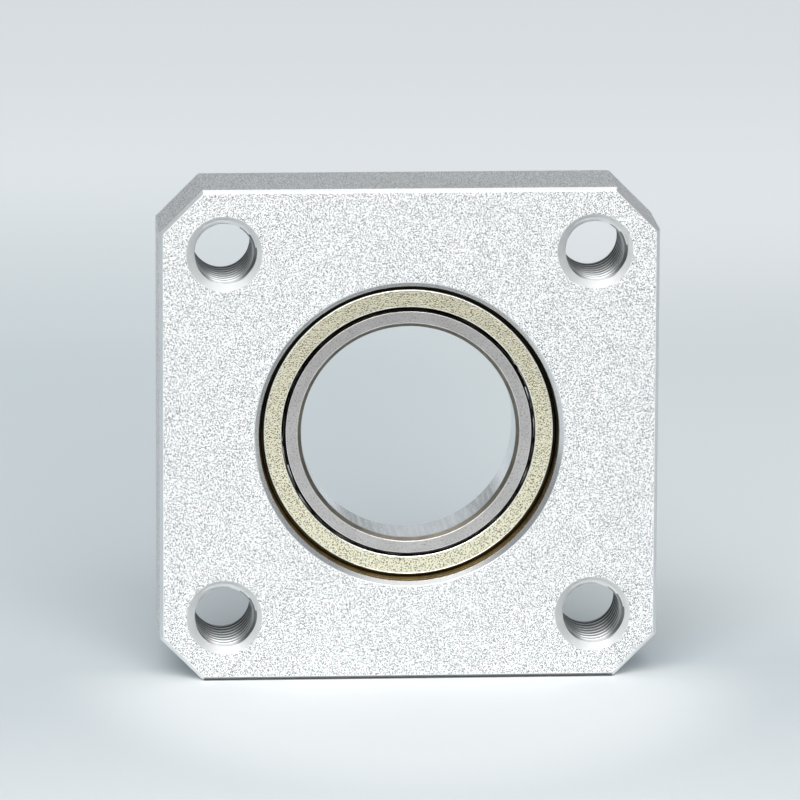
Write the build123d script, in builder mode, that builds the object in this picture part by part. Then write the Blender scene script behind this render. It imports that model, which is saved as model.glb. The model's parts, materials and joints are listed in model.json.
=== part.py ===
from build123d import *
from math import asin, degrees, pi
import os

# Square flange bearing unit, in millimetres.
# X points right and Z up. Y runs along the bore from the flange's front face to its back.
# The origin is on the bore's axis, halfway along the bearing.

# Driving sizes of the ball bearing
bearing_bore = 25.0
bearing_width = 7.0
ball_diameter = 3.5
ball_play = 0.05  # between a ball and each raceway
ring_wall = 1.2  # from a raceway's deepest line to the other side of its ring
land_height = 0.8  # from a raceway's deepest line to the land beside it
race_conformity = 0.525  # raceway radius for each millimetre of ball
ring_chamfer = 0.3  # of the outer ring
bore_chamfer = 0.45  # of the inner ring, where the shaft goes in
land_chamfer = 0.2  # of the inner ring, beside the shields
ball_gap = 2.9  # least arc between two balls, which holds the cage's rivet

# Driving sizes of the cage
cage_sheet = 0.3
cage_land_gap = 0.15  # between the cage and each ring's land
pocket_play = 0.1
rivet_shank_diameter = 0.6
rivet_head_diameter = 1.1
rivet_head_height = 0.2
rivet_play = 0.02

# Driving sizes of the shields
shield_sheet = 0.3
shield_recess = 0.18  # of the shield's face behind the rings' faces
shield_seat_depth = 0.9
shield_gap = 0.25  # running gap round the inner ring
shield_flange = 0.25  # depth of the turned-in edge beside the inner ring
shield_foot_width = 0.4
shield_groove_depth = 0.8  # of the outer ring's groove behind its land
shield_foot_play = 0.05
shield_keeper = 0.2  # how far the crimped edge closes over the shield's foot
shield_bend = 0.12

# Driving sizes of the retaining ring
snap_thickness = 1.5
snap_groove_depth = 1.0
snap_play = 0.1  # along the bore
snap_rim_play = 0.02
snap_band_width = 2.6
snap_offset = 0.8  # of the band's inner circle towards the gap
snap_gap = 6.0
lug_radius = 2.1
lug_hole_diameter = 2.0
lug_clearance = 0.3  # beside the turning inner ring

# Driving sizes of the plate
lip_thickness = 1.5
lip_width = 1.0
lip_bevel = 0.5
seat_play = 0.01
back_land = 1.9
mouth_bevel = 0.5
hole_spacing = 43.0
hole_diameter = 6.8
countersink_diameter = 8.8
countersink_angle = 90.0
hole_edge_distance = 7.5
corner_chamfer = 5.0
edge_bevel = 0.4

# The bearing, worked out from its bore outwards
ball_r = ball_diameter / 2
race_r = race_conformity * ball_diameter
bore_r = bearing_bore / 2
inner_race_bottom_r = bore_r + ring_wall
ball_circle_r = inner_race_bottom_r + ball_play + ball_r
outer_race_bottom_r = ball_circle_r + ball_r + ball_play
bearing_r = outer_race_bottom_r + ring_wall
inner_land_r = inner_race_bottom_r + land_height
outer_land_r = outer_race_bottom_r - land_height
half_width = bearing_width / 2
ball_count = int(2 * pi * ball_circle_r / (ball_diameter + ball_gap))

# The cage
cage_inner_r = inner_land_r + cage_land_gap
cage_outer_r = outer_land_r - cage_land_gap
pocket_r = ball_r + pocket_play
pocket_back_r = pocket_r + cage_sheet
cage_band = cage_outer_r - cage_inner_r
rivet_hole_r = rivet_shank_diameter / 2 + rivet_play
half_pitch_angle = 180 / ball_count

# The shields, from the middle of the bearing towards a face
shield_seat_y = half_width - shield_seat_depth
shield_foot_y = shield_seat_y + shield_sheet
shield_face_y = half_width - shield_recess
shield_under_y = shield_face_y - shield_sheet
shield_inner_r = inner_land_r + shield_gap
shield_groove_r = outer_land_r + shield_groove_depth
shield_foot_r = shield_groove_r - shield_foot_play
shield_rim_r = shield_groove_r - shield_foot_width
keeper_y = shield_foot_y + shield_foot_play
keeper_r = shield_groove_r - shield_keeper

# The plate's stations along the bore, front to back
bearing_front_y = -half_width
bearing_back_y = half_width
plate_front_y = bearing_front_y - lip_thickness
groove_back_y = bearing_back_y + snap_thickness + snap_play
plate_back_y = groove_back_y + back_land
plate_thickness = plate_back_y - plate_front_y
plate_side = hole_spacing + 2 * hole_edge_distance
seat_r = bearing_r + seat_play
lip_r = bearing_r - lip_width
groove_r = bearing_r + snap_groove_depth

# The retaining ring
snap_outer_r = groove_r - snap_rim_play
snap_inner_r = snap_outer_r - snap_band_width
snap_back_y = bearing_back_y + snap_thickness
lug_circle_r = inner_land_r + lug_clearance + lug_radius
lug_offset = snap_gap / 2 + lug_radius
lug_angle = degrees(asin(lug_offset / lug_circle_r))


def across(y):
    """The plane square to the bore at y, seen from the front, with X right and Z up."""
    return Plane.XZ.offset(-y)


def lathe_plane():
    """Where a turned profile is drawn: X is its radius and Y its place along the bore."""
    return Plane.XY


os.makedirs("parts", exist_ok=True)

# Plate: a square blank with its corners cut, a stepped bore and four tapped holes
with BuildPart() as housing_plate:
    with BuildSketch(across(plate_back_y)):
        outline = Rectangle(plate_side, plate_side)
        chamfer(outline.vertices(), corner_chamfer)
    extrude(amount=plate_thickness)
    chamfer(housing_plate.edges().filter_by(Plane.XZ), edge_bevel)
    with BuildSketch(lathe_plane()):
        with BuildLine():
            Polyline(
                (0, plate_front_y),
                (lip_r + lip_bevel, plate_front_y),
                (lip_r, plate_front_y + lip_bevel),
                (lip_r, bearing_front_y),
                (seat_r, bearing_front_y),
                (seat_r, bearing_back_y),
                (groove_r, bearing_back_y),
                (groove_r, groove_back_y),
                (seat_r, groove_back_y),
                (seat_r, plate_back_y - mouth_bevel),
                (seat_r + mouth_bevel, plate_back_y),
                (0, plate_back_y),
                close=True,
            )
        make_face()
    revolve(axis=Axis.Y, mode=Mode.SUBTRACT)
    for face_plane in (across(plate_front_y), -across(plate_back_y)):
        with Locations(face_plane):
            with GridLocations(hole_spacing, hole_spacing, 2, 2):
                CounterSinkHole(
                    hole_diameter / 2,
                    countersink_diameter / 2,
                    counter_sink_angle=countersink_angle,
                )
housing_plate.part.label = "housing_plate"
export_step(housing_plate.part, "parts/housing_plate.step")

# Outer ring: half its section is drawn, mirrored and turned
with BuildPart() as outer_ring:
    with BuildSketch(lathe_plane()):
        with BuildLine():
            Polyline(
                (outer_land_r, 0),
                (outer_land_r, shield_seat_y),
                (shield_groove_r, shield_seat_y),
                (shield_groove_r, keeper_y),
                (keeper_r, keeper_y + shield_keeper),
                (shield_groove_r, half_width),
                (bearing_r - ring_chamfer, half_width),
                (bearing_r, half_width - ring_chamfer),
                (bearing_r, 0),
                close=True,
            )
        make_face()
        with Locations((outer_race_bottom_r - race_r, 0)):
            Circle(race_r, mode=Mode.SUBTRACT)
        mirror(about=Plane.XZ)
    revolve(axis=Axis.Y)
outer_ring.part.label = "outer_ring"
export_step(outer_ring.part, "parts/outer_ring.step")

# Inner ring: a chamfered section with the raceway cut into its outside
with BuildPart() as inner_ring:
    with BuildSketch(lathe_plane()) as ring_section:
        with Locations(((bore_r + inner_land_r) / 2, 0)):
            Rectangle(inner_land_r - bore_r, bearing_width)
        chamfer(ring_section.vertices().group_by(Axis.X)[0], bore_chamfer)
        chamfer(ring_section.vertices().group_by(Axis.X)[-1], land_chamfer)
        with Locations((inner_race_bottom_r + race_r, 0)):
            Circle(race_r, mode=Mode.SUBTRACT)
    revolve(axis=Axis.Y)
inner_ring.part.label = "inner_ring"
export_step(inner_ring.part, "parts/inner_ring.step")

# Balls, evenly round the pitch circle, the first one to the right
for number in range(ball_count):
    with BuildPart() as ball:
        with Locations(across(0)):
            with PolarLocations(ball_circle_r, 1, start_angle=number * 2 * half_pitch_angle):
                Sphere(ball_r)
    ball.part.label = f"ball_{number + 1:02d}"
    export_step(ball.part, f"parts/{ball.part.label}.step")

# Cage: two pressed half rings of sheet, each arched over every ball
with BuildPart() as cage_front:
    with BuildSketch(across(0)):
        Circle(cage_outer_r)
    extrude(amount=cage_sheet)
    with Locations(across(0)):
        with PolarLocations(ball_circle_r, ball_count):
            Cylinder(pocket_back_r, 2 * cage_band, rotation=(0, 90, 0))
    with BuildSketch(across(0)):
        Circle(cage_outer_r)
        Circle(cage_inner_r, mode=Mode.SUBTRACT)
    extrude(amount=pocket_back_r, mode=Mode.INTERSECT)
    with Locations(across(0)):
        with PolarLocations(ball_circle_r, ball_count):
            Cylinder(pocket_r, 2 * cage_band, rotation=(0, 90, 0), mode=Mode.SUBTRACT)
        with PolarLocations(ball_circle_r, ball_count, start_angle=half_pitch_angle):
            Cylinder(rivet_hole_r, 4 * cage_sheet, mode=Mode.SUBTRACT)
cage_front.part.label = "cage_front"
export_step(cage_front.part, "parts/cage_front.step")

with BuildPart() as cage_back:
    mirror(cage_front.part, about=Plane.XZ)
cage_back.part.label = "cage_back"
export_step(cage_back.part, "parts/cage_back.step")

# Rivets between the pockets, each a shank with two flat heads that clamp the sheets
with BuildPart() as cage_rivets:
    with Locations(across(0)):
        with PolarLocations(ball_circle_r, ball_count, start_angle=half_pitch_angle):
            Cylinder(rivet_shank_diameter / 2, 2 * cage_sheet)
    for side in (1, -1):
        with Locations(across(side * (cage_sheet + rivet_head_height / 2))):
            with PolarLocations(ball_circle_r, ball_count, start_angle=half_pitch_angle):
                Cylinder(rivet_head_diameter / 2, rivet_head_height)
cage_rivets.part.label = "cage_rivets"
export_step(cage_rivets.part, "parts/cage_rivets.step")

# Shields: a flat pressed ring with a turned-in inner edge and a stepped foot at its rim
with BuildPart() as shield_back:
    with BuildSketch(lathe_plane()) as shield_section:
        with BuildLine():
            Polyline(
                (shield_inner_r, shield_under_y - shield_flange),
                (shield_inner_r, shield_face_y),
                (shield_rim_r, shield_face_y),
                (shield_rim_r, shield_foot_y),
                (shield_foot_r, shield_foot_y),
                (shield_foot_r, shield_seat_y),
                (shield_rim_r - shield_sheet, shield_seat_y),
                (shield_rim_r - shield_sheet, shield_under_y),
                (shield_inner_r + shield_sheet, shield_under_y),
                (shield_inner_r + shield_sheet, shield_under_y - shield_flange),
                close=True,
            )
        make_face()
        chamfer(shield_section.vertices().group_by(Axis.Y)[-1], shield_bend)
    revolve(axis=Axis.Y)
shield_back.part.label = "shield_back"
export_step(shield_back.part, "parts/shield_back.step")

with BuildPart() as shield_front:
    mirror(shield_back.part, about=Plane.XZ)
shield_front.part.label = "shield_front"
export_step(shield_front.part, "parts/shield_front.step")

# Retaining ring: a band that thins towards its gap, and a lug with a plier hole at each end
with BuildPart() as retaining_ring:
    with BuildSketch(across(snap_back_y)):
        Circle(snap_outer_r)
        with Locations((0, snap_offset)):
            Circle(snap_inner_r, mode=Mode.SUBTRACT)
        with Locations((0, snap_outer_r)):
            Rectangle(2 * lug_offset, snap_outer_r, mode=Mode.SUBTRACT)
        with PolarLocations(
            lug_circle_r, 2, start_angle=90 - lug_angle, angular_range=2 * lug_angle, endpoint=True
        ):
            Circle(lug_radius)
            Rectangle(snap_outer_r, 2 * lug_radius, align=(Align.MIN, Align.CENTER))
            Circle(lug_hole_diameter / 2, mode=Mode.SUBTRACT)
        Circle(snap_outer_r, mode=Mode.INTERSECT)
    extrude(amount=snap_thickness)
retaining_ring.part.label = "retaining_ring"
export_step(retaining_ring.part, "parts/retaining_ring.step")
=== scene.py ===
import json
from math import acos, asin, atan2, ceil, cos, pi, radians, sin, sqrt, tan, tau

import bmesh
import bpy
from mathutils import Matrix, Vector
from mathutils.geometry import tessellate_polygon


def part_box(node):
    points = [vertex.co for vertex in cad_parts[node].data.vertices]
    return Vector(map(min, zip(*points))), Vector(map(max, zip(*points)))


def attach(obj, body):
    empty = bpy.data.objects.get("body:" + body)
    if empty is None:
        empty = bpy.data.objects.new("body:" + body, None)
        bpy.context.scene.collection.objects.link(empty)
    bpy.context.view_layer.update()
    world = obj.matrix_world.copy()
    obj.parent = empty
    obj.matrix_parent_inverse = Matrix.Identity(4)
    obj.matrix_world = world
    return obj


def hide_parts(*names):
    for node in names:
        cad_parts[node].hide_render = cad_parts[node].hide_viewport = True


# The looks of a square flange bearing unit, in metres. X points right, Y from the flange's front
# face to its back and Z up, with the origin in the bearing.
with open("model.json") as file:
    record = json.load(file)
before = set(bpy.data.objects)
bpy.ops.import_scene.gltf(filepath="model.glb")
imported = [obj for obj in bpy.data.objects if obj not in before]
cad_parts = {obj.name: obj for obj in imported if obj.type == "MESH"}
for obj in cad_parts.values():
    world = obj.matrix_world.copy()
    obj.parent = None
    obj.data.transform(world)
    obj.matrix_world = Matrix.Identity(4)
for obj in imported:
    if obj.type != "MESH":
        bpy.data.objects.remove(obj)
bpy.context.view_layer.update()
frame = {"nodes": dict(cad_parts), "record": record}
MM = 0.001

# Places read from the frame
mounts = {mount["name"]: mount["dims"] for mount in frame["record"]["mounts"]}
plate_low, plate_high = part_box("housing_plate")
_, outer_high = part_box("outer_ring")
_, inner_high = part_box("inner_ring")
shield_low, shield_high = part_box("shield_back")
snap_low, snap_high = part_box("retaining_ring")
ball_low, ball_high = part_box("ball_01")

PLATE_FRONT = plate_low.y
PLATE_BACK = plate_high.y
PLATE_HALF = plate_high.x
BORE_R = mounts["shaft_bore"]["r_mm"] * MM
HOLE_OFFSET = mounts["corner_holes"]["spacing_x_mm"] * MM / 2
TAP_DRILL_R = mounts["corner_holes"]["hole_r_mm"] * MM
BEARING_R = outer_high.x
BEARING_HALF = outer_high.y
INNER_LAND_R = inner_high.x
BALL_R = (ball_high.x - ball_low.x) / 2
BALL_CIRCLE_R = (ball_high.x + ball_low.x) / 2
SHIELD_FOOT_R = shield_high.x
SHIELD_SEAT_Y = shield_low.y
SHIELD_FACE_Y = shield_high.y
SNAP_OUTER_R = snap_high.x

# Sizes of the plate
CORNER_CUT = 5.0 * MM
EDGE_BEVEL = 0.4 * MM
LIP_WIDTH = 1.0 * MM
LIP_BEVEL = 0.5 * MM
SEAT_PLAY = 0.01 * MM
SNAP_GROOVE_DEPTH = 1.0 * MM
BACK_LAND = 1.9 * MM
MOUTH_BEVEL = 0.5 * MM
COUNTERSINK_R = 4.4 * MM
THREAD_PITCH = 1.25 * MM
THREAD_MAJOR_R = 4.0 * MM
THREAD_ROOT_FLAT = THREAD_PITCH / 8
FLANK_ANGLE = radians(30)

# Sizes of the bearing
BALL_PLAY = 0.05 * MM
RACE_CONFORMITY = 0.525
BORE_CHAMFER = 0.45 * MM
LAND_CHAMFER = 0.2 * MM
RING_CHAMFER = 0.3 * MM
OUTER_LAND_DEPTH = 0.8 * MM
SHEET = 0.3 * MM
SHIELD_GAP = 0.25 * MM
SHIELD_FLANGE = 0.25 * MM
SHIELD_FOOT_WIDTH = 0.4 * MM
SHIELD_FOOT_PLAY = 0.05 * MM
SHIELD_KEEPER = 0.2 * MM

# Sizes of the snap ring
SNAP_BAND = 2.6 * MM
SNAP_OFFSET = 0.8 * MM
SNAP_GAP = 6.0 * MM
LUG_R = 2.1 * MM
LUG_HOLE_R = 1.0 * MM
LUG_CLEARANCE = 0.3 * MM

# How far sharp edges are broken, and how finely round forms are divided
EDGE_BREAK = 0.08 * MM
CORNER_BREAK = 0.2 * MM
SHEET_BEND = 0.14 * MM
STAMPED_EDGE = 0.1 * MM
RIM = 0.06 * MM  # of flat surface beside a broken edge
ARC_SHARE = 0.45  # the most of a straight run that the arc at its end takes
RIM_SHARE = 0.49  # the same for the arc and its rim together
MITRE_LIMIT = 0.5  # keeps the inset of a sharp corner within twice the distance
SHARP_ANGLE = radians(32)
MERGE_DISTANCE = 1e-8
ARC_STEPS = 4
RACE_STEPS = 16
THREAD_STEPS = 4  # along a crest or a flank
ROOT_STEPS = 2
RING_SEGMENTS = 288
HOLE_SEGMENTS = 80
THREAD_TURNS_TO_SPARE = 1
LUG_STEPS = 32
LUG_HOLE_SEGMENTS = 48
SNAP_OUTER_STEPS = 120
SNAP_INNER_STEPS = 110
EDGE = "edge"

# The finishes of the plate, the inner ring, and the outer ring and shields, in their order; the
# inner ring's last one and the others' second one are painted shade in the bearing's gaps
BLASTED, BORED, TAPPED, SUNK, BEVELLED = range(5)
GROUND, HONED, TURNED, SHADE_PAINTED = range(4)
BARE, SHADED = range(2)

# Radii of the bearing, worked out from the ones above
OUTER_LAND_R = BALL_CIRCLE_R + BALL_R + BALL_PLAY - OUTER_LAND_DEPTH
SHIELD_RIM_R = SHIELD_FOOT_R + SHIELD_FOOT_PLAY - SHIELD_FOOT_WIDTH

# The view: a camera 0.96 m away, fitted to the photograph's edges
VIEW_YAW = 0.068
VIEW_PITCH = 0.200
VIEW_ROLL = 0.004
VIEW_DISTANCE = 961.15 * MM
VIEW_CENTRE = (-1.119 * MM, PLATE_FRONT, 4.165 * MM)
FOCAL_PIXELS = 8289.6
PICTURE_PIXELS = 800
SENSOR_WIDTH = 36.0
VIEW_NEAR, VIEW_FAR = 0.01, 20.0

# The studio's tones and lamps, and the spans over which a tone rises or falls
HORIZON_GREY = (0.37, 0.39, 0.405)
BACKDROP_WHITE = (0.70, 0.74, 0.76)
ROOM_GREY = (0.33, 0.35, 0.36)
FRONT_WHITE = (0.96, 0.96, 0.96)
BACKDROP_RISE = (0.05, 0.34)
BACKDROP_FALL = (0.24, 0.6)
FRONT_RISE = (0.25, -0.35)
CARD_GREY = (0.27, 0.28, 0.29)
CARD_RISE = (0.25, 0.65)
FAR_GLOW = (0.85, 0.80, 0.80)
FAR_GLOW_POWER = 0.33
FAR_GLOW_RISE = (0.17, 0.36)
LAMP_TARGET = (0, 0, 0)
LAMP_PLACE = (-0.06, -0.42, 0.36)
LAMP_SIZE = (0.5, 0.4)
LAMP_POWER = 2.45
PANEL_PLACE = (0.0, -0.6, 0.12)
PANEL_SIZE = (0.6, 0.25)
PANEL_POWER = 0.28
FLOOR_R = 4.0
FLOOR_SEGMENTS = 96
# Tones of the floor that paint how light falls on it: darker about the plate, lightest some 0.2 m
# behind it
FLOOR_TONES = (  # places along Y, front to back
    (-0.35, (0.20, 0.21, 0.22)),
    (-0.20, (0.33, 0.35, 0.36)),
    (-0.09, (0.79, 0.83, 0.85)),
    (-0.02, (0.66, 0.72, 0.75)),
    (0.015, (0.69, 0.76, 0.79)),
    (0.06, (0.73, 0.80, 0.83)),
    (0.125, (0.77, 0.85, 0.88)),
    (0.21, (0.83, 0.92, 0.95)),
    (0.30, (0.75, 0.84, 0.88)),
    (0.45, (0.70, 0.79, 0.83)),
)
# Painted light on the floor: lighter on the right, behind the plate
SIDE_PAINTED_LIGHT = (0.92, 0.98, 1.0)
SIDE_SHARE = 0.9
SIDE_START = (0.0, 0.045)
SIDE_NEAR = (0.0, 0.05)
SIDE_FAR = (0.36, 0.24)
# A painted pool of light on the floor before the plate
PAINTED_POOL_WHITE = (0.83, 0.87, 0.88)
GLOW_HALF_WIDTH = 0.043
GLOW_REACH = 0.06
GLOW_EDGE = 0.008
GLOW_FADE = (1.0, 0.35)
CONTACT_SHADE = 0.92
CONTACT_EDGE = 0.3 * MM
BLACK = (0.0, 0.0, 0.0)


# Forms

def path_of(corners):
    """Points (a, b, edge) along straight runs, with an arc at each corner (a, b, radius).

    The arc's points are marked as lying on a broken edge.
    """
    points = []
    last = len(corners) - 1
    for index, (a, b, radius) in enumerate(corners):
        here = Vector((a, b))
        if index in (0, last) or radius == 0:
            points.append((a, b, 0.0))
            continue
        back = Vector(corners[index - 1][:2]) - here
        ahead = Vector(corners[index + 1][:2]) - here
        half = back.angle(ahead) / 2
        reach = min(radius / tan(half), ARC_SHARE * back.length, ARC_SHARE * ahead.length)
        before = here + back.normalized() * min(reach + RIM, RIM_SHARE * back.length)
        after = here + ahead.normalized() * min(reach + RIM, RIM_SHARE * ahead.length)
        radius = reach * tan(half)
        centre = here + (back.normalized() + ahead.normalized()).normalized() * radius / sin(half)
        start = here + back.normalized() * reach - centre
        bend = (pi - 2 * half) * (1 if back.cross(ahead) < 0 else -1)
        points.append((before.x, before.y, 0.0))
        for step in range(ARC_STEPS + 1):
            spoke = Matrix.Rotation(bend * step / ARC_STEPS, 2) @ start
            points.append((centre.x + spoke.x, centre.y + spoke.y, 1.0))
        points.append((after.x, after.y, 0.0))
    return points


def circle(radius, segments, centre=(0.0, 0.0)):
    """Points (x, z) round a circle."""
    turns = [tau * index / segments for index in range(segments)]
    return [(centre[0] + radius * cos(turn), centre[1] + radius * sin(turn)) for turn in turns]


def loop_of(bm, points, y, edge=0.0):
    """A ring of new vertices at y, from points (x, z)."""
    layer = bm.verts.layers.float[EDGE]
    ring = [bm.verts.new((x, y, z)) for x, z in points]
    for vertex in ring:
        vertex[layer] = edge
    return ring


def skin(bm, rings, finish=0):
    """Quads between each ring of vertices and the next one."""
    for near, far in zip(rings, rings[1:]):
        for index in range(len(near)):
            following = (index + 1) % len(near)
            face = bm.faces.new((near[index], near[following], far[following], far[index]))
            face.material_index = finish


def flat_face(bm, loops, y):
    """A flat face at y inside the first loop of points (x, z), with a hole in each other loop."""
    rings = [loop_of(bm, loop, y) for loop in loops]
    vertices = [vertex for ring in rings for vertex in ring]
    outlines = [[Vector((x, z, 0.0)) for x, z in loop] for loop in loops]
    for corners in tessellate_polygon(outlines):
        bm.faces.new([vertices[corner] for corner in corners])


def new_mesh():
    """An empty mesh whose points can be marked as lying on a broken edge."""
    bm = bmesh.new()
    bm.verts.layers.float.new(EDGE)
    return bm


def piece(name, bm, finishes, body, slot, *nodes):
    """Makes a closed mesh a shaded piece that rides on its body and stands for CAD nodes."""
    bmesh.ops.remove_doubles(bm, verts=bm.verts, dist=MERGE_DISTANCE)
    bmesh.ops.recalc_face_normals(bm, faces=bm.faces)
    mesh = bpy.data.meshes.new(name)
    bm.to_mesh(mesh)
    bm.free()
    mesh.shade_smooth()
    mesh.set_sharp_from_angle(angle=SHARP_ANGLE)
    for finish in finishes:
        mesh.materials.append(finish)
    made = bpy.data.objects.new(name, mesh)
    bpy.context.scene.collection.objects.link(made)
    shading = made.modifiers.new("face weighted shading", "WEIGHTED_NORMAL")
    shading.keep_sharp = True
    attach(made, body)
    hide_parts(*nodes)


def turned(name, corners, finishes, finish_at, body, slot, node, mirrored=False):
    """A ring turned from a closed section (radius, y, rounding), its finish chosen by place."""
    bm = new_mesh()
    side = -1 if mirrored else 1
    section = path_of(corners)[:-1]
    for start, end in zip(section, section[1:] + section[:1]):
        ends = [
            loop_of(bm, circle(radius, RING_SEGMENTS), side * y, edge)
            for radius, y, edge in (start, end)
        ]
        skin(bm, ends, finish_at((start[0] + end[0]) / 2, (start[1] + end[1]) / 2))
    piece(name, bm, finishes, body, slot, node)


# The plate

def plate_outline(inset):
    """The square with cut corners, drawn in by inset, its eight corners a little rounded."""
    half = PLATE_HALF - inset - CORNER_BREAK
    cut = 2 * PLATE_HALF - CORNER_CUT - (inset + CORNER_BREAK) * sqrt(2)
    points = []
    for quarter in range(4):
        for centre, start in (((half, cut - half), 0), ((cut - half, half), pi / 4)):
            for step in range(ARC_STEPS + 1):
                turn = start + step / ARC_STEPS * pi / 4
                spot = Vector(centre) + CORNER_BREAK * Vector((cos(turn), sin(turn)))
                spot.rotate(Matrix.Rotation(quarter * pi / 2, 2))
                points.append((spot.x, spot.y))
    return points


def thread_section():
    """One pitch of the tapped thread as (place along the axis, radius), from crest to crest."""
    depth = THREAD_MAJOR_R - TAP_DRILL_R
    flank = depth * tan(FLANK_ANGLE)
    crest = THREAD_PITCH - 2 * flank - THREAD_ROOT_FLAT
    stations = [(0.0, TAP_DRILL_R), (crest, TAP_DRILL_R), (crest + flank, THREAD_MAJOR_R)]
    stations += [(THREAD_PITCH - flank, THREAD_MAJOR_R), (THREAD_PITCH, TAP_DRILL_R)]
    section = []
    for (start, start_r), (end, end_r) in zip(stations, stations[1:]):
        parts = ROOT_STEPS if start_r == end_r == THREAD_MAJOR_R else THREAD_STEPS
        for part in range(parts):
            share = part / parts
            section.append((start + share * (end - start), start_r + share * (end_r - start_r)))
    return section


def tapped_hole(bm, centre):
    """A tapped hole: its rows follow the thread's helix and end in a countersink at each face."""
    section = thread_section()
    turns = ceil((PLATE_BACK - PLATE_FRONT) / THREAD_PITCH) + THREAD_TURNS_TO_SPARE
    columns = []
    for column in range(HOLE_SEGMENTS):
        share = column / HOLE_SEGMENTS
        x, z = cos(tau * share), sin(tau * share)
        points = []
        for turn in range(turns):
            for along, thread_r in section:
                y = PLATE_FRONT + turn * THREAD_PITCH + along - share * THREAD_PITCH
                y = min(max(y, PLATE_FRONT), PLATE_BACK)
                depth = min(y - PLATE_FRONT, PLATE_BACK - y)
                radius = max(thread_r, COUNTERSINK_R - depth)
                points.append(bm.verts.new((centre[0] + radius * x, y, centre[1] + radius * z)))
        columns.append(points)
    rows = len(columns[0])
    for column, points in enumerate(columns):
        wraps = column == HOLE_SEGMENTS - 1
        beside = columns[0] if wraps else columns[column + 1]
        shift = len(section) if wraps else 0
        for row in range(rows - 1):
            low, high = max(row - shift, 0), max(row + 1 - shift, 0)
            corners = [points[row], points[row + 1], beside[high], beside[low]]
            if low == high:
                corners.pop()
            face = bm.faces.new(corners)
            middle = face.calc_center_median()
            depth = min(middle.y - PLATE_FRONT, PLATE_BACK - middle.y)
            in_mouth = depth < COUNTERSINK_R - TAP_DRILL_R
            face.material_index = SUNK if in_mouth else TAPPED


def bore_path():
    """The stepped bore from the front face to the back one, as points (radius, y, edge)."""
    lip_r = BEARING_R - LIP_WIDTH
    seat_r = BEARING_R + SEAT_PLAY
    groove_r = BEARING_R + SNAP_GROOVE_DEPTH
    groove_back = PLATE_BACK - BACK_LAND
    return path_of([
        (lip_r + LIP_BEVEL + RIM, PLATE_FRONT, 0),
        (lip_r + LIP_BEVEL, PLATE_FRONT, EDGE_BREAK),
        (lip_r, PLATE_FRONT + LIP_BEVEL, EDGE_BREAK),
        (lip_r, -BEARING_HALF, EDGE_BREAK),
        (seat_r, -BEARING_HALF, EDGE_BREAK),
        (seat_r, BEARING_HALF, EDGE_BREAK),
        (groove_r, BEARING_HALF, EDGE_BREAK),
        (groove_r, groove_back, EDGE_BREAK),
        (seat_r, groove_back, EDGE_BREAK),
        (seat_r, PLATE_BACK - MOUTH_BEVEL, EDGE_BREAK),
        (seat_r + MOUTH_BEVEL, PLATE_BACK, EDGE_BREAK),
        (seat_r + MOUTH_BEVEL + RIM, PLATE_BACK, 0),
    ])


def wall_path():
    """The outside from the front face to the back one, as points (inset, y, edge)."""
    return path_of([
        (EDGE_BEVEL + RIM, PLATE_FRONT, 0),
        (EDGE_BEVEL, PLATE_FRONT, EDGE_BREAK),
        (0, PLATE_FRONT + EDGE_BEVEL, EDGE_BREAK),
        (0, PLATE_BACK - EDGE_BEVEL, EDGE_BREAK),
        (EDGE_BEVEL, PLATE_BACK, EDGE_BREAK),
        (EDGE_BEVEL + RIM, PLATE_BACK, 0),
    ])


def make_plate(blasted, bored, tapped, sunk, bevelled):
    """The plate: blasted outside, with cut bevels, a turned bore and countersunk, tapped holes."""
    bm = new_mesh()
    outside = wall_path()
    rings = [loop_of(bm, plate_outline(inset), y, edge) for inset, y, edge in outside]
    skin(bm, rings, BLASTED)
    for face in bm.faces:
        middle = face.calc_center_median()
        if min(middle.y - PLATE_FRONT, PLATE_BACK - middle.y) < EDGE_BEVEL:
            face.material_index = BEVELLED
    bore = bore_path()
    rings = [loop_of(bm, circle(radius, RING_SEGMENTS), y, edge) for radius, y, edge in bore]
    skin(bm, rings, BORED)
    centres = [(x * HOLE_OFFSET, z * HOLE_OFFSET) for x in (-1, 1) for z in (-1, 1)]
    holes = [circle(COUNTERSINK_R, HOLE_SEGMENTS, centre) for centre in centres]
    for (inset, y, _), (mouth_r, _, _) in ((outside[0], bore[0]), (outside[-1], bore[-1])):
        flat_face(bm, [plate_outline(inset), circle(mouth_r, RING_SEGMENTS), *holes], y)
    for centre in centres:
        tapped_hole(bm, centre)
    finishes = [blasted, bored, tapped, sunk, bevelled]
    piece("flange_plate", bm, finishes, "flange", "plate_aluminium", "housing_plate")


# The bearing

def race(bottom_r, land_r, outward):
    """The raceway's arc from its front edge to its back one, as corners (radius, y, rounding)."""
    race_r = 2 * RACE_CONFORMITY * BALL_R
    centre_r = bottom_r + outward * race_r
    half = acos((centre_r - land_r) * outward / race_r)
    turns = [half * (2 * step / RACE_STEPS - 1) for step in range(RACE_STEPS + 1)]
    return [(centre_r - outward * race_r * cos(turn), race_r * sin(turn), 0) for turn in turns]


def outer_ring_finish(radius, y):
    """The outer ring's shield grooves are oiled and carry painted shade; it is ground steel
    elsewhere.
    """
    in_groove = OUTER_LAND_R < radius < BEARING_R - LIP_WIDTH and abs(y) > SHIELD_SEAT_Y
    return SHADED if in_groove else BARE


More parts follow.
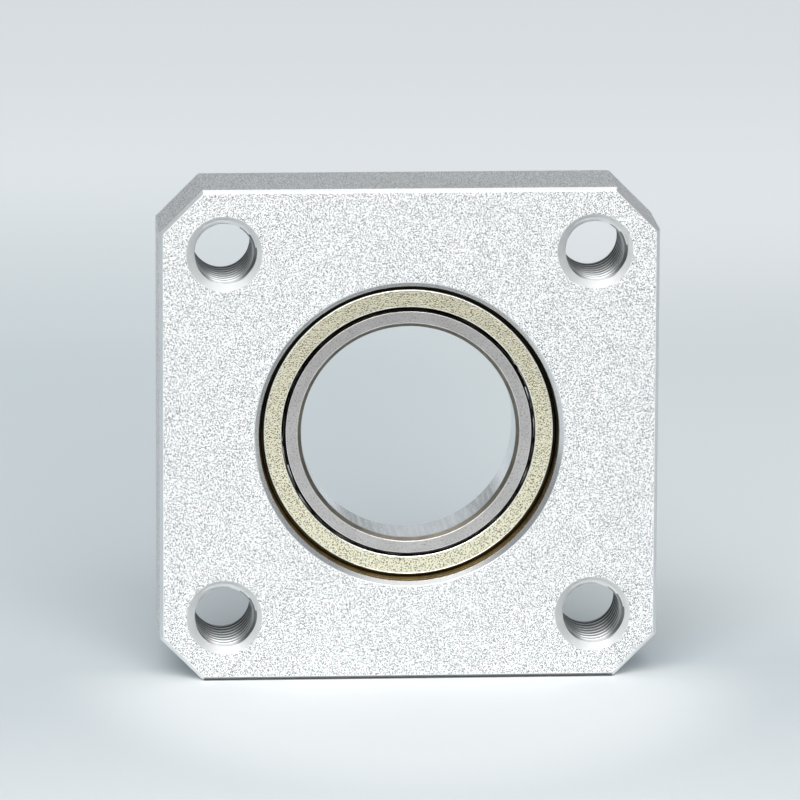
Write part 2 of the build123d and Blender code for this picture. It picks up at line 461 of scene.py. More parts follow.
def make_outer_ring(ground, shaded):
    """The outer ring, with a raceway, and a groove at each side crimped over its shield."""
    bottom_r = BALL_CIRCLE_R + BALL_R + BALL_PLAY
    land_r = OUTER_LAND_R
    groove_r = SHIELD_FOOT_R + SHIELD_FOOT_PLAY
    keeper_y = SHIELD_SEAT_Y + SHEET + SHIELD_FOOT_PLAY
    side = [
        (land_r, SHIELD_SEAT_Y, EDGE_BREAK),
        (groove_r, SHIELD_SEAT_Y, EDGE_BREAK),
        (groove_r, keeper_y, EDGE_BREAK),
        (groove_r - SHIELD_KEEPER, keeper_y + SHIELD_KEEPER, EDGE_BREAK),
        (groove_r, BEARING_HALF, EDGE_BREAK),
        (BEARING_R - LIP_WIDTH, BEARING_HALF, 0),
        (BEARING_R - RING_CHAMFER, BEARING_HALF, EDGE_BREAK),
        (BEARING_R, BEARING_HALF - RING_CHAMFER, EDGE_BREAK),
    ]
    front = [(radius, -y, rounding) for radius, y, rounding in reversed(side)]
    section = [(BEARING_R, 0, 0), *front, *race(bottom_r, land_r, -1), *side, (BEARING_R, 0, 0)]
    finishes = [ground, shaded]
    name, node = "bearing_outer_ring", "outer_ring"
    turned(name, section, finishes, outer_ring_finish, "flange", "ring_steel", node)


def inner_ring_finish(radius, y):
    """The inner ring's honed bore, dark turned chamfers and oiled outside with painted shade;
    ground elsewhere.
    """
    from_end = BEARING_HALF - abs(y)
    if radius < BORE_R + BORE_CHAMFER and from_end < BORE_CHAMFER:
        return TURNED
    if radius > INNER_LAND_R - LAND_CHAMFER and from_end > 0:
        return SHADE_PAINTED
    return HONED if radius < BORE_R + RIM else GROUND


def make_inner_ring(ground, bore, chamfers, gap_shade):
    """The inner ring: a ground bore, chamfered ends and a raceway outside."""
    bottom_r = BALL_CIRCLE_R - BALL_R - BALL_PLAY
    side = [
        (BORE_R, BEARING_HALF - BORE_CHAMFER, EDGE_BREAK),
        (BORE_R + BORE_CHAMFER, BEARING_HALF, EDGE_BREAK),
        (INNER_LAND_R - LAND_CHAMFER, BEARING_HALF, EDGE_BREAK),
        (INNER_LAND_R, BEARING_HALF - LAND_CHAMFER, EDGE_BREAK),
    ]
    front = [(radius, -y, rounding) for radius, y, rounding in side]
    raceway = reversed(race(bottom_r, INNER_LAND_R, 1))
    section = [(BORE_R, 0, 0), *side, *raceway, *reversed(front), (BORE_R, 0, 0)]
    finishes = [ground, bore, chamfers, gap_shade]
    name, node = "bearing_inner_ring", "inner_ring"
    turned(name, section, finishes, inner_ring_finish, "inner_ring", "ring_steel", node)


def shield_finish(radius, y):
    """A shield is bare sheet on its face and bends, and oiled with painted shade behind them."""
    beside_gap = radius < INNER_LAND_R + SHIELD_GAP + RIM and y < SHIELD_FACE_Y - SHEET_BEND - RIM
    beyond_rim = radius > SHIELD_RIM_R - RIM and y < SHIELD_FACE_Y - RIM
    return SHADED if beside_gap or beyond_rim else BARE


def make_shield(name, node, sheet, shaded, mirrored):
    """A pressed shield: a flat ring with a turned-in inner edge and a stepped foot at its rim."""
    inner_r = INNER_LAND_R + SHIELD_GAP
    rim_r = SHIELD_RIM_R
    under_y = SHIELD_FACE_Y - SHEET
    foot_y = SHIELD_SEAT_Y + SHEET
    section = [
        (inner_r, under_y, 0),
        (inner_r, SHIELD_FACE_Y, SHEET_BEND),
        (rim_r, SHIELD_FACE_Y, SHEET_BEND),
        (rim_r, foot_y, EDGE_BREAK),
        (SHIELD_FOOT_R, foot_y, EDGE_BREAK),
        (SHIELD_FOOT_R, SHIELD_SEAT_Y, EDGE_BREAK),
        (rim_r - SHEET, SHIELD_SEAT_Y, EDGE_BREAK),
        (rim_r - SHEET, under_y, EDGE_BREAK),
        (inner_r + SHEET, under_y, EDGE_BREAK),
        (inner_r + SHEET, under_y - SHIELD_FLANGE, EDGE_BREAK),
        (inner_r, under_y - SHIELD_FLANGE, EDGE_BREAK),
        (inner_r, under_y, 0),
    ]
    finishes = [sheet, shaded]
    turned(name, section, finishes, shield_finish, "flange", "shield_steel", node, mirrored)


def inset_loop(points, distance):
    """The counterclockwise loop of points (x, z) drawn in by distance."""
    drawn = []
    for index, here in enumerate(points):
        before = (here - points[index - 1]).normalized()
        after = (points[(index + 1) % len(points)] - here).normalized()
        inward = Vector((-before.y - after.y, before.x + after.x)).normalized()
        reach = distance / max(inward.dot(Vector((-after.y, after.x))), MITRE_LIMIT)
        drawn.append(here + inward * reach)
    return drawn


def snap_ring_outline(lug, out, aside):
    """The snap ring's counterclockwise outline (x, z). Its left half mirrors its right one."""
    circle_r = lug.length
    band_r = SNAP_OUTER_R - SNAP_BAND
    tip = lug - LUG_R * aside + out * (sqrt(SNAP_OUTER_R**2 - LUG_R**2) - circle_r)
    shoulder = lug + LUG_R * aside - Vector((0, SNAP_OFFSET))
    along = shoulder.dot(out)
    shoulder += out * (sqrt(along**2 - shoulder.length_squared + band_r**2) - along)
    near_gap = atan2(-aside.y, -aside.x)
    arcs = [
        ((0, 0), SNAP_OUTER_R, -pi / 2, atan2(tip.y, tip.x), SNAP_OUTER_STEPS),
        (lug, LUG_R, near_gap - tau, near_gap - pi, LUG_STEPS),
        ((0, SNAP_OFFSET), band_r, atan2(shoulder.y, shoulder.x), -pi / 2, SNAP_INNER_STEPS),
    ]
    right = []
    for centre, radius, start, end, steps in arcs:
        for step in range(steps + 1):
            turn = start + (end - start) * step / steps
            right.append(Vector((centre[0] + radius * cos(turn), centre[1] + radius * sin(turn))))
    left = [Vector((-spot.x, spot.y)) for spot in reversed(right)]
    return right + left[1:-1]


def make_snap_ring(finish):
    """The stamped snap ring: a band that thins towards its gap, with a drilled lug at each end."""
    circle_r = INNER_LAND_R + LUG_CLEARANCE + LUG_R
    lean = asin((SNAP_GAP / 2 + LUG_R) / circle_r)
    out, aside = Vector((sin(lean), cos(lean))), Vector((cos(lean), -sin(lean)))
    lug = circle_r * out
    outline = snap_ring_outline(lug, out, aside)
    section = path_of([
        (STAMPED_EDGE + RIM, snap_low.y, 0),
        (0, snap_low.y, STAMPED_EDGE),
        (0, snap_high.y, STAMPED_EDGE),
        (STAMPED_EDGE + RIM, snap_high.y, 0),
    ])
    bm = new_mesh()
    skin(bm, [loop_of(bm, inset_loop(outline, inset), y, edge) for inset, y, edge in section])
    centres = [(lug.x, lug.y), (-lug.x, lug.y)]
    for centre in centres:
        skin(bm, [
            loop_of(bm, circle(LUG_HOLE_R + inset, LUG_HOLE_SEGMENTS, centre), y, edge)
            for inset, y, edge in section
        ])
    for inset, y, _ in (section[0], section[-1]):
        holes = [circle(LUG_HOLE_R + inset, LUG_HOLE_SEGMENTS, centre) for centre in centres]
        flat_face(bm, [[tuple(spot) for spot in inset_loop(outline, inset)], *holes], y)
    piece("snap_ring", bm, [finish], "flange", "spring_steel", "retaining_ring")


# Shared effects

MIX_COLOURS = (6, 7)  # the colour inputs of a mix node, which share their names with others
MIX_RESULT = 2
PIT_DEPTH = 0.16  # of noise, from where a pit of the grain starts to where it is darkest
TIP_HEIGHT = 0.14  # the same for its bright tips
DIMPLE_FLOOR = 0.45  # of a dimple's reach
SLANT = 0.7  # how far tool marks lean along the axis


class Nodes:
    """A node tree in the making. Each input of a new node is a value, or a socket to link from."""

    def __init__(self, tree):
        self.tree = tree

    def add(self, kind, inputs=None, **settings):
        node = self.tree.nodes.new(kind)
        for name, value in settings.items():
            setattr(node, name, value)
        for name, value in (inputs or {}).items():
            if isinstance(value, bpy.types.NodeSocket):
                self.tree.links.new(value, node.inputs[name])
            else:
                node.inputs[name].default_value = value
        return node

    def math(self, operation, first, second=0.0):
        return self.add("ShaderNodeMath", {0: first, 1: second}, operation=operation).outputs[0]

    def ramp(self, value, low, high, to_low=0.0, to_high=1.0):
        """The value carried smoothly from low..high to to_low..to_high, and never past them."""
        inputs = {"Value": value, "From Min": low, "From Max": high}
        inputs |= {"To Min": to_low, "To Max": to_high}
        node = self.add("ShaderNodeMapRange", inputs, interpolation_type="SMOOTHSTEP")
        return node.outputs["Result"]

    def place(self):
        """The point in the piece's own frame, in metres."""
        return self.add("ShaderNodeTexCoord").outputs["Object"]

    def steps(self, size):
        """The point in the piece's own frame, counted in steps of size."""
        inputs = {0: self.place(), "Scale": self.math("DIVIDE", 1.0, size)}
        return self.add("ShaderNodeVectorMath", inputs, operation="SCALE").outputs[0]

    def vector(self, *parts):
        return self.add("ShaderNodeCombineXYZ", dict(enumerate(parts))).outputs[0]

    def parts(self, vector):
        return self.add("ShaderNodeSeparateXYZ", {0: vector}).outputs

    def noise(self, spot, detail, roughness=0.5):
        inputs = {"Vector": spot, "Scale": 1.0, "Detail": detail, "Roughness": roughness}
        return self.add("ShaderNodeTexNoise", inputs).outputs["Fac"]

    def mix(self, share, first, second):
        """A colour between two colours."""
        node = self.add("ShaderNodeMix", {"Factor": share}, data_type="RGBA")
        for index, value in zip(MIX_COLOURS, (first, second)):
            if isinstance(value, bpy.types.NodeSocket):
                self.tree.links.new(value, node.inputs[index])
            else:
                node.inputs[index].default_value = (*value, 1.0)
        return node.outputs[MIX_RESULT]


def new_effect(name, inputs, outputs):
    """A shared effect of numbers: its tree, nodes, input sockets and output sockets."""
    tree = bpy.data.node_groups.new(name, "ShaderNodeTree")
    for label, value in inputs.items():
        socket = tree.interface.new_socket(label, in_out="INPUT", socket_type="NodeSocketFloat")
        socket.default_value = value
    for label in outputs:
        tree.interface.new_socket(label, in_out="OUTPUT", socket_type="NodeSocketFloat")
    nodes = Nodes(tree)
    return tree, nodes, nodes.add("NodeGroupInput").outputs, nodes.add("NodeGroupOutput").inputs


def grain_effect():
    """Fine grain of rolled steel: masks of its dark pits and bright tips, and a height."""
    inputs = {"Size": 0.15 * MM, "Pits": 0.44, "Tips": 0.58}
    tree, nodes, given, put = new_effect("grain", inputs, ["Pits", "Tips", "Height"])
    value = nodes.noise(nodes.steps(given["Size"]), detail=1.0, roughness=0.6)
    deepest = nodes.math("SUBTRACT", given["Pits"], PIT_DEPTH)
    highest = nodes.math("ADD", given["Tips"], TIP_HEIGHT)
    tree.links.new(nodes.ramp(value, given["Pits"], deepest), put["Pits"])
    tree.links.new(nodes.ramp(value, given["Tips"], highest), put["Tips"])
    tree.links.new(value, put["Height"])
    return tree


def dimple_effect():
    """Evenly spread dimples of a blasted surface: a mask of their floors, where shade is painted,
    and a height.
    """
    inputs = {"Size": 0.18 * MM, "Reach": 0.45}
    tree, nodes, given, put = new_effect("dimples", inputs, ["Pits", "Height"])
    cells = {"Vector": nodes.steps(given["Size"]), "Scale": 1.0}
    away = nodes.add("ShaderNodeTexVoronoi", cells).outputs["Distance"]
    bottom = nodes.math("MULTIPLY", given["Reach"], DIMPLE_FLOOR)
    tree.links.new(nodes.ramp(away, given["Reach"], bottom), put["Pits"])
    tree.links.new(away, put["Height"])
    return tree


def mottle_effect():
    """Slow, faint changes of tone over a surface, from 0 to 1."""
    tree, nodes, given, put = new_effect("mottle", {"Size": 6 * MM}, ["Tone"])
    noise = nodes.noise(nodes.steps(given["Size"]), detail=3.0, roughness=0.55)
    tree.links.new(nodes.ramp(noise, 0.3, 0.7), put["Tone"])
    return tree


def squared_sum(nodes, first, second):
    """The sum of the squares of two values."""
    products = [nodes.math("MULTIPLY", value, value) for value in (first, second)]
    return nodes.math("ADD", *products)


def bore_place(nodes, place, to_holes):
    """How far from the axis of the bore, or of the nearest corner hole, at what turn, and y."""
    across, along, upward = nodes.parts(place)
    if to_holes:
        across = nodes.math("SUBTRACT", nodes.math("ABSOLUTE", across), HOLE_OFFSET)
        upward = nodes.math("SUBTRACT", nodes.math("ABSOLUTE", upward), HOLE_OFFSET)
    radius = nodes.math("SQRT", squared_sum(nodes, across, upward))
    return radius, nodes.math("ARCTAN2", upward, across), along


def tool_marks_effect(name, to_holes):
    """Fine lines left by turning or grinding, as a height. Each runs part of the way round."""
    inputs = {"Pitch": 0.05 * MM, "Length": 0.4}
    tree, nodes, given, put = new_effect(name, inputs, ["Height"])
    radius, turn, along = bore_place(nodes, nodes.place(), to_holes)
    slanted = nodes.math("ADD", radius, nodes.math("MULTIPLY", along, SLANT))
    across = nodes.math("DIVIDE", slanted, given["Pitch"])
    round_about = nodes.math("DIVIDE", nodes.math("SINE", turn), given["Length"])
    sideways = nodes.math("DIVIDE", nodes.math("COSINE", turn), given["Length"])
    spot = nodes.vector(across, round_about, sideways)
    tree.links.new(nodes.noise(spot, detail=2.0, roughness=0.6), put["Height"])
    return tree


def rubbed_edge_and_highlight_effect():
    """Where a broken edge is rubbed bright and carries a painted highlight, from 0 to 1."""
    inputs = {"Amount": 1.0, "Patch": 1.5 * MM}
    tree, nodes, given, put = new_effect("rubbed edge and highlight", inputs, ["Rubbed"])
    noise = nodes.noise(nodes.steps(given["Patch"]), detail=2.0)
    patchy = nodes.ramp(noise, 0.3, 0.6, to_low=0.5)
    edge = nodes.add("ShaderNodeAttribute", attribute_name=EDGE).outputs["Fac"]
    rubbed_and_highlit = nodes.math("MULTIPLY", nodes.math("MULTIPLY", edge, patchy), given["Amount"])
    tree.links.new(rubbed_and_highlit, put["Rubbed"])
    return tree


grain = grain_effect()
dimples = dimple_effect()
mottle = mottle_effect()
bore_marks = tool_marks_effect("bore marks", to_holes=False)
hole_marks = tool_marks_effect("hole marks", to_holes=True)
rubbed_edge_and_highlight = rubbed_edge_and_highlight_effect()


# Finishes

def new_finish(name, metallic, roughness):
    """A material, its nodes and the inputs of its surface shader."""
    material = bpy.data.materials.new(name)
    material.use_nodes = True
    nodes = Nodes(material.node_tree)
    surface = material.node_tree.nodes["Principled BSDF"].inputs
    surface["Metallic"].default_value = metallic
    surface["Roughness"].default_value = roughness
    return material, nodes, surface


def use(nodes, effect, **inputs):
    """Places a shared effect and returns its outputs."""
    return nodes.add("ShaderNodeGroup", inputs, node_tree=effect).outputs


def raise_surface(nodes, surface, height, depth, strength):
    """Lets a height push the surface out by up to depth."""
    bump = nodes.add("ShaderNodeBump", {"Height": height, "Distance": depth, "Strength": strength})
    nodes.tree.links.new(bump.outputs["Normal"], surface["Normal"])


def colour_surface(nodes, surface, colour):
    nodes.tree.links.new(colour, surface["Base Color"])


def blasted_aluminium():
    """Bead-blasted, clear-anodised aluminium: near white, with fine pits whose floors carry
    painted shade.
    """
    material, nodes, surface = new_finish("blasted aluminium", metallic=1.0, roughness=0.55)
    fine = use(nodes, dimples, Size=0.135 * MM, Reach=0.52)
    tone = use(nodes, mottle, Size=7 * MM)["Tone"]
    body = nodes.mix(tone, (0.93, 0.935, 0.94), (0.95, 0.955, 0.96))
    # Painted shade in the floors of the blast pits
    pitted = nodes.mix(fine["Pits"], body, (0.03, 0.03, 0.03))
    colour_surface(nodes, surface, pitted)
    raise_surface(nodes, surface, fine["Height"], depth=0.02 * MM, strength=0.4)
    return material


def cut_aluminium(name, roughness):
    """Anodised aluminium as the tool left it: finer in the bore than on the outside bevels."""
    material, nodes, surface = new_finish(name, metallic=1.0, roughness=roughness)
    lines = use(nodes, bore_marks, Pitch=0.06 * MM, Length=0.5)["Height"]
    tone = use(nodes, mottle, Size=3 * MM)["Tone"]
    rubbed_and_highlit = use(nodes, rubbed_edge_and_highlight)["Rubbed"]
    body = nodes.mix(tone, (0.86, 0.87, 0.88), (0.91, 0.92, 0.93))
    # Broken edges rubbed bright, with a painted highlight along them
    colour_surface(nodes, surface, nodes.mix(rubbed_and_highlit, body, (0.96, 0.96, 0.95)))
    raise_surface(nodes, surface, lines, depth=0.01 * MM, strength=0.3)
    return material


def tapped_aluminium():
    """Anodised aluminium in the threads, with painted shade below the crests, darker towards the
    back.
    """
    material, nodes, surface = new_finish("tapped aluminium", metallic=1.0, roughness=0.3)
    lines = use(nodes, hole_marks, Pitch=0.07 * MM, Length=0.5)["Height"]
    tone = use(nodes, mottle, Size=2 * MM)["Tone"]
    radius, _, along = bore_place(nodes, nodes.place(), to_holes=True)
    root_start, root_end = TAP_DRILL_R + 0.01 * MM, TAP_DRILL_R + 0.14 * MM
    inside_start, inside_end = PLATE_FRONT + 1.5 * MM, PLATE_FRONT + 6 * MM
    # Painted shade: dark in the thread roots, and on roots and crests darker further into the hole
    in_root = nodes.ramp(radius, root_start, root_end)
    inside = nodes.ramp(along, inside_start, inside_end)
    crest = nodes.mix(tone, (0.36, 0.37, 0.37), (0.46, 0.47, 0.47))
    crest = nodes.mix(inside, crest, (0.20, 0.21, 0.21))
    shaded = nodes.math("MULTIPLY", in_root, nodes.ramp(inside, 0.0, 1.0, to_low=0.55))
    colour_surface(nodes, surface, nodes.mix(shaded, crest, (0.02, 0.02, 0.02)))
    raise_surface(nodes, surface, lines, depth=0.012 * MM, strength=0.3)
    return material


def sunk_aluminium():
    """Anodised aluminium in the countersinks: matte, with faint marks of the cutter."""
    material, nodes, surface = new_finish("sunk aluminium", metallic=0.6, roughness=0.5)
    lines = use(nodes, hole_marks, Pitch=0.07 * MM, Length=0.5)["Height"]
    tone = use(nodes, mottle, Size=2 * MM)["Tone"]
    colour_surface(nodes, surface, nodes.mix(tone, (0.77, 0.78, 0.78), (0.83, 0.84, 0.84)))
    raise_surface(nodes, surface, lines, depth=0.008 * MM, strength=0.2)
    return material


def passivated_sheet():
    """The shields' rolled sheet, passivated to a pale gold, with a sparkling grain."""
    material, nodes, surface = new_finish("passivated sheet", metallic=1.0, roughness=0.2)
    peened = use(nodes, dimples, Size=0.19 * MM, Reach=0.5)
    fine = use(nodes, grain, Size=0.13 * MM, Tips=0.55)
    tone = use(nodes, mottle, Size=4 * MM)["Tone"]
    rubbed_and_highlit = use(nodes, rubbed_edge_and_highlight)["Rubbed"]
    body = nodes.mix(tone, (0.95, 0.885, 0.66), (0.99, 0.93, 0.70))
    # Painted shade in the floors of the dimples
    pitted = nodes.mix(peened["Pits"], body, (0.07, 0.06, 0.03))
    lit = nodes.mix(fine["Tips"], pitted, (0.99, 0.97, 0.80))
    # Bends rubbed bright, with a painted highlight along them
    colour_surface(nodes, surface, nodes.mix(rubbed_and_highlit, lit, (0.98, 0.97, 0.90)))
    raise_surface(nodes, surface, peened["Height"], depth=0.03 * MM, strength=0.5)
    return material


def ground_steel():
    """Hardened bearing steel with a satin face: fine lines round the axis, faintly mottled."""
    material, nodes, surface = new_finish("ground steel", metallic=1.0, roughness=0.26)
    fine = use(nodes, grain, Size=0.16 * MM, Pits=0.46)
    lines = use(nodes, bore_marks, Pitch=0.03 * MM, Length=0.25)["Height"]
    tone = use(nodes, mottle, Size=3 * MM)["Tone"]
    rubbed_and_highlit = use(nodes, rubbed_edge_and_highlight)["Rubbed"]
    body = nodes.mix(tone, (0.54, 0.52, 0.51), (0.60, 0.58, 0.57))
    pit_share = 0.8
    pits = nodes.math("MULTIPLY", fine["Pits"], pit_share)
    pitted = nodes.mix(pits, body, (0.26, 0.245, 0.24))
    # Broken edges rubbed bright, with a painted highlight along them
    colour_surface(nodes, surface, nodes.mix(rubbed_and_highlit, pitted, (0.84, 0.83, 0.81)))
    raise_surface(nodes, surface, lines, depth=0.006 * MM, strength=0.35)
    return material


def honed_bore():
    """The inner ring's bore, honed bright, with faint streaks along it whose lighter tone is a
    painted highlight.
    """
    material, nodes, surface = new_finish("honed bore", metallic=1.0, roughness=0.18)
    noise_circle_r, streak_length = 22.0, 8 * MM
    _, turn, along = bore_place(nodes, nodes.place(), to_holes=False)
    round_about = nodes.math("MULTIPLY", nodes.math("SINE", turn), noise_circle_r)
    sideways = nodes.math("MULTIPLY", nodes.math("COSINE", turn), noise_circle_r)
    lengthwise = nodes.math("DIVIDE", along, streak_length)
    spot = nodes.vector(round_about, sideways, lengthwise)
    streak_and_highlight = nodes.ramp(nodes.noise(spot, detail=3.0, roughness=0.65), 0.35, 0.7)
    # Lighter streaks: honing marks, and a painted highlight stretched along the bore
    colour_surface(nodes, surface, nodes.mix(streak_and_highlight, (0.74, 0.76, 0.78), (0.96, 0.97, 0.98)))
    dulled = nodes.ramp(streak_and_highlight, 0.0, 1.0, to_low=0.14, to_high=0.24)
    nodes.tree.links.new(dulled, surface["Roughness"])
    return material


def turned_steel():
    """The inner ring's chamfers as turned and hardened: dark, with a painted highlight on their
    rubbed corners.
    """
    material, nodes, surface = new_finish("turned steel", metallic=1.0, roughness=0.42)
    tone = use(nodes, mottle, Size=2 * MM)["Tone"]
    rubbed_and_highlit = use(nodes, rubbed_edge_and_highlight, Amount=0.9)["Rubbed"]
    body = nodes.mix(tone, (0.20, 0.185, 0.16), (0.28, 0.26, 0.22))
    colour_surface(nodes, surface, nodes.mix(rubbed_and_highlit, body, (0.66, 0.62, 0.55)))
    return material


def painted_gap_shade():
    """Oiled steel in the bearing's gaps: nearly black painted shade, and a painted amber
    reflection low at the rims.
    """
    material, nodes, surface = new_finish("painted gap shade", metallic=1.0, roughness=0.3)
    tone = use(nodes, mottle, Size=1.5 * MM)["Tone"]
    place = nodes.place()
    _, _, upward = nodes.parts(place)
    radius, _, _ = bore_place(nodes, place, to_holes=False)
    # The painted amber reflection lies low in the gaps and towards the rims
    reflection_top, reflection_bottom = 4 * MM, -14 * MM
    at_rim = nodes.ramp(radius, INNER_LAND_R + SHIELD_GAP + SHEET, SHIELD_RIM_R - SHEET)
    reflection_share = nodes.math("MULTIPLY", nodes.ramp(upward, reflection_top, reflection_bottom), at_rim)
    # Painted shade, nearly black, and the painted amber reflection
    painted_shade = nodes.mix(tone, (0.008, 0.007, 0.005), (0.020, 0.016, 0.010))
    painted_reflection = nodes.mix(tone, (0.050, 0.033, 0.010), (0.095, 0.064, 0.022))
    colour_surface(nodes, surface, nodes.mix(reflection_share, painted_shade, painted_reflection))
    return material


def lapped_steel():
    """The balls' lapped mirror finish, with a trace of grease."""
    material, nodes, surface = new_finish("lapped steel", metallic=1.0, roughness=0.06)
    tone = use(nodes, mottle, Size=1.2 * MM)["Tone"]
    colour_surface(nodes, surface, nodes.mix(tone, (0.62, 0.61, 0.58), (0.72, 0.72, 0.72)))
    dulled = nodes.ramp(tone, 0.0, 1.0, to_low=0.14, to_high=0.05)
    nodes.tree.links.new(dulled, surface["Roughness"])
    return material


def pressed_strip():
    """The cage's cold-rolled strip and its rivets."""
    material, nodes, surface = new_finish("pressed strip", metallic=1.0, roughness=0.38)
    fine = use(nodes, grain, Size=0.1 * MM, Pits=0.45)
    tone = use(nodes, mottle, Size=2 * MM)["Tone"]
    body = nodes.mix(tone, (0.42, 0.41, 0.39), (0.52, 0.51, 0.49))
    colour_surface(nodes, surface, nodes.mix(fine["Pits"], body, (0.28, 0.27, 0.25)))
    raise_surface(nodes, surface, fine["Height"], depth=0.01 * MM, strength=0.3)
    return material


def blackened_spring():
    """The snap ring's phosphated spring steel, rubbed to grey along its stamped edges."""
    material, nodes, surface = new_finish("blackened spring", metallic=0.85, roughness=0.42)
    fine = use(nodes, grain, Size=0.12 * MM, Tips=0.56)
    tone = use(nodes, mottle, Size=2.5 * MM)["Tone"]
    rubbed_and_highlit = use(nodes, rubbed_edge_and_highlight, Amount=0.8)["Rubbed"]
    body = nodes.mix(tone, (0.045, 0.045, 0.05), (0.085, 0.083, 0.08))
    lit = nodes.mix(fine["Tips"], body, (0.16, 0.155, 0.15))
    # Stamped edges rubbed to grey, with a painted highlight along them
    colour_surface(nodes, surface, nodes.mix(rubbed_and_highlit, lit, (0.34, 0.33, 0.32)))
    dulled = nodes.ramp(tone, 0.0, 1.0, to_low=0.5, to_high=0.36)
    nodes.tree.links.new(dulled, surface["Roughness"])
    raise_surface(nodes, surface, fine["Height"], depth=0.02 * MM, strength=0.5)
    return material


# The studio

def make_world():
    """Plain surroundings: white in front, a backdrop and a grey room behind, dark cards aside."""
    world = bpy.data.worlds.new("studio")
    world.use_nodes = True
    bpy.context.scene.world = world
    nodes = Nodes(world.node_tree)
    backdrop = world.node_tree.nodes["Background"]
    direction = nodes.add("ShaderNodeTexCoord").outputs["Generated"]
    across, along, upward = nodes.parts(direction)
    backdrop_tone = nodes.mix(nodes.ramp(upward, *BACKDROP_RISE), HORIZON_GREY, BACKDROP_WHITE)
    behind = nodes.mix(nodes.ramp(upward, *BACKDROP_FALL), backdrop_tone, ROOM_GREY)
    colour = nodes.mix(nodes.ramp(along, *FRONT_RISE), behind, FRONT_WHITE)
    aside = nodes.ramp(nodes.math("ABSOLUTE", across), *CARD_RISE)
    nodes.tree.links.new(nodes.mix(aside, colour, CARD_GREY), backdrop.inputs["Color"])


def make_lamp(name, place, target, size, power):
    """A rectangular soft lamp at place, turned towards target."""
    lamp = bpy.data.lights.new(name, "AREA")
    lamp.shape = "RECTANGLE"
    lamp.size, lamp.size_y = size
    lamp.energy = power
    holder = bpy.data.objects.new(name, lamp)
    holder.location = place
    holder.rotation_euler = (Vector(target) - Vector(place)).to_track_quat("-Z", "Y").to_euler()
    holder.visible_camera = False
    bpy.context.scene.collection.objects.link(holder)


def floor_tone(nodes, along):
    """The floor's slow change of tone from front to back, which paints how light falls on it."""
    (front, front_tone), *between, (back, back_tone) = FLOOR_TONES
    share = nodes.add("ShaderNodeMapRange", {"Value": along, "From Min": front, "From Max": back})
    tones = nodes.add("ShaderNodeValToRGB", {"Fac": share.outputs["Result"]})
    stops = tones.color_ramp.elements
    stops[0].color, stops[1].color = (*front_tone, 1.0), (*back_tone, 1.0)
    for place, colour in between:
        stop = stops.new((place - front) / (back - front))
        stop.color = (*colour, 1.0)
    return tones.outputs["Color"]


def floor_colour(nodes, across, along):
    """The floor's colour: a painted pool of light before the plate, painted light behind it on the
    right, painted shade under it.
    """
    # A painted pool of light before the plate
    aside = nodes.math("DIVIDE", across, GLOW_HALF_WIDTH)
    ahead = nodes.math("DIVIDE", nodes.math("SUBTRACT", along, PLATE_FRONT), GLOW_REACH)
    painted_pool = nodes.ramp(squared_sum(nodes, aside, ahead), *GLOW_FADE)
    in_front = nodes.ramp(along, PLATE_FRONT + GLOW_EDGE, PLATE_FRONT)
    painted_pool = nodes.math("MULTIPLY", painted_pool, in_front)
    # Painted light behind the plate on its right
    painted_light_on_right = nodes.ramp(across, *SIDE_START, 0.0, SIDE_SHARE)
    painted_light_on_right = nodes.math("MULTIPLY", painted_light_on_right, nodes.ramp(along, *SIDE_NEAR))
    painted_light_on_right = nodes.math("MULTIPLY", painted_light_on_right, nodes.ramp(along, *SIDE_FAR))
    tone = nodes.mix(painted_light_on_right, floor_tone(nodes, along), SIDE_PAINTED_LIGHT)
    lit = nodes.mix(painted_pool, tone, PAINTED_POOL_WHITE)
    # Painted shade under the plate
    foot = PLATE_HALF - CORNER_CUT
    from_middle = nodes.math("ABSOLUTE", across)
    under = nodes.ramp(from_middle, foot + CONTACT_EDGE, foot - CONTACT_EDGE)
    for edge, inward in ((PLATE_FRONT, CONTACT_EDGE), (PLATE_BACK, -CONTACT_EDGE)):
        within = nodes.ramp(along, edge - inward, edge + inward)
        under = nodes.math("MULTIPLY", under, within)
    return nodes.mix(nodes.math("MULTIPLY", under, CONTACT_SHADE), lit, BLACK)


def make_floor():
    """The pale floor, which fills the view and glows faintly far behind, not to diffuse rays."""
    bm = bmesh.new()
    bmesh.ops.create_circle(bm, cap_ends=True, radius=FLOOR_R, segments=FLOOR_SEGMENTS)
    mesh = bpy.data.meshes.new("floor")
    bm.to_mesh(mesh)
    bm.free()
    floor = bpy.data.objects.new("floor", mesh)
    floor.location.z = plate_low.z
    bpy.context.scene.collection.objects.link(floor)
    material, nodes, surface = new_finish("floor", metallic=0.0, roughness=0.7)
    across, along, _ = nodes.parts(nodes.place())
    colour_surface(nodes, surface, floor_colour(nodes, across, along))
    rays = nodes.add("ShaderNodeLightPath").outputs
    seen = nodes.math("MAXIMUM", rays["Is Camera Ray"], rays["Is Glossy Ray"])
    seen = nodes.math("MAXIMUM", seen, rays["Is Transmission Ray"])
    far = nodes.ramp(along, *FAR_GLOW_RISE, 0.0, FAR_GLOW_POWER)
    surface["Emission Color"].default_value = (*FAR_GLOW, 1.0)
    nodes.tree.links.new(nodes.math("MULTIPLY", seen, far), surface["Emission Strength"])
    mesh.materials.append(material)


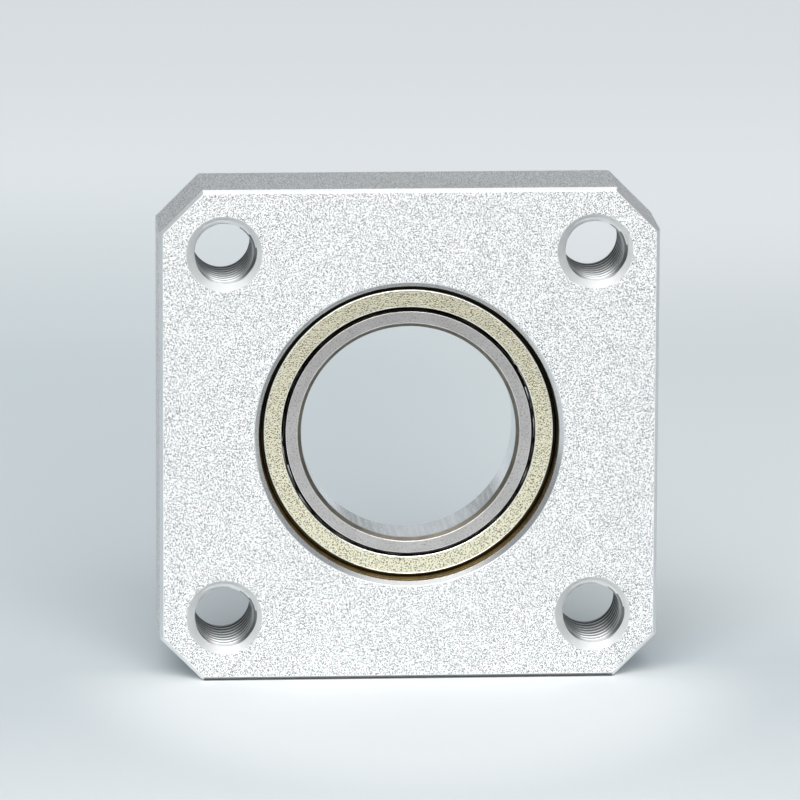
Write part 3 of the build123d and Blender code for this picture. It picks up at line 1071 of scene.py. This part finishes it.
def make_camera():
    """The camera at the photograph's angle: far back, a little above and to the left."""
    ahead = Vector((
        sin(VIEW_YAW) * cos(VIEW_PITCH),
        cos(VIEW_YAW) * cos(VIEW_PITCH),
        -sin(VIEW_PITCH),
    ))
    level = Vector((cos(VIEW_YAW), -sin(VIEW_YAW), 0.0))
    upright = level.cross(ahead)
    right = level * cos(VIEW_ROLL) + upright * sin(VIEW_ROLL)
    up = upright * cos(VIEW_ROLL) - level * sin(VIEW_ROLL)
    camera = bpy.data.cameras.new("camera")
    camera.sensor_width = SENSOR_WIDTH
    camera.lens = FOCAL_PIXELS / PICTURE_PIXELS * SENSOR_WIDTH
    camera.clip_start, camera.clip_end = VIEW_NEAR, VIEW_FAR
    holder = bpy.data.objects.new("camera", camera)
    holder.matrix_world = Matrix((right, up, -ahead)).transposed().to_4x4()
    holder.location = Vector(VIEW_CENTRE) - ahead * VIEW_DISTANCE
    bpy.context.scene.collection.objects.link(holder)
    bpy.context.scene.camera = holder


def dress(finish, *nodes):
    """Gives CAD nodes that keep their form a finish."""
    for node in nodes:
        for slot in frame["nodes"][node].material_slots:
            slot.material = finish


steel = ground_steel()
sheet = passivated_sheet()
gap_shade_finish = painted_gap_shade()
bored = cut_aluminium("bored aluminium", roughness=0.24)
bevelled = cut_aluminium("bevelled aluminium", roughness=0.46)
make_plate(blasted_aluminium(), bored, tapped_aluminium(), sunk_aluminium(), bevelled)
make_outer_ring(steel, gap_shade_finish)
make_inner_ring(steel, honed_bore(), turned_steel(), gap_shade_finish)
make_shield("shield_plate_front", "shield_front", sheet, gap_shade_finish, mirrored=True)
make_shield("shield_plate_back", "shield_back", sheet, gap_shade_finish, mirrored=False)
make_snap_ring(blackened_spring())
dress(lapped_steel(), *[node for node in frame["nodes"] if node.startswith("ball_")])
dress(pressed_strip(), "cage_front", "cage_back", "cage_rivets")
make_floor()
make_world()
make_lamp("high lamp", LAMP_PLACE, LAMP_TARGET, LAMP_SIZE, LAMP_POWER)
make_lamp("front panel", PANEL_PLACE, LAMP_TARGET, PANEL_SIZE, PANEL_POWER)
make_camera()
bpy.context.scene.view_settings.view_transform = "Standard"
